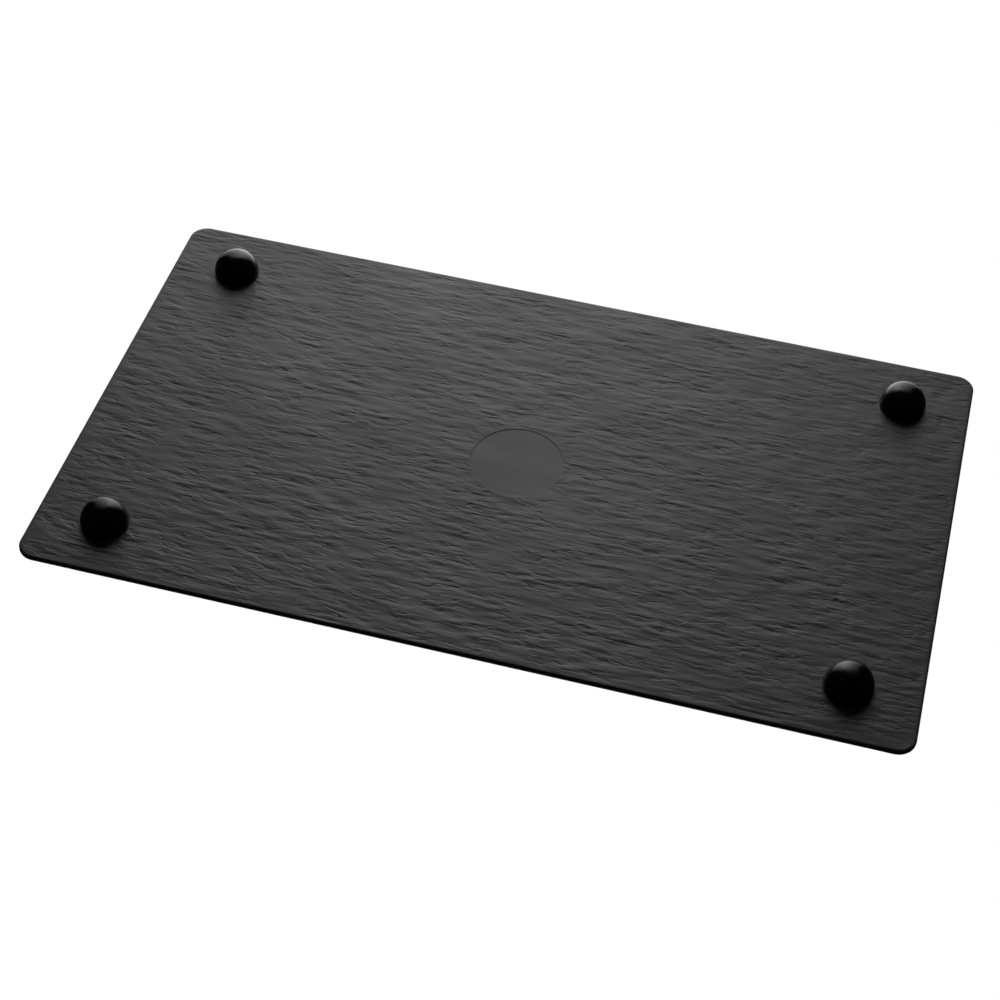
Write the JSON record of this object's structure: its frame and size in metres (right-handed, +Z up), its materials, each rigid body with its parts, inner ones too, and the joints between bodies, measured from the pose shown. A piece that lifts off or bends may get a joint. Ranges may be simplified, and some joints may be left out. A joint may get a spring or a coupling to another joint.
{
  "type": "melamine tray",
  "caption": "Flat rectangular melamine serving tray with rounded corners, a stone-like grain and rubber dome feet that lift it clear of the table.",
  "frame": {"origin": "on the table top under the middle of the tray, at the bottom centre of its box, where the feet stand", "axes": "+Z up, out of the serving face; +X along the long side; front is -Y and left is -X"},
  "size_m": [0.35, 0.205, 0.0134],
  "materials": {
    "melamine": "charcoal moulded melamine with a fine satin stone grain",
    "foot_rubber": "smooth black moulded rubber with a soft sheen",
    "adhesive": "thin pressure-sensitive adhesive film"
  },
  "bodies": {
    "root": {"tray_board": "melamine", "foot_front_left": "foot_rubber", "foot_front_right": "foot_rubber", "foot_back_left": "foot_rubber", "foot_back_right": "foot_rubber", "adhesive_front_left": "adhesive", "adhesive_front_right": "adhesive", "adhesive_back_left": "adhesive", "adhesive_back_right": "adhesive"}
  },
  "joints": []
}
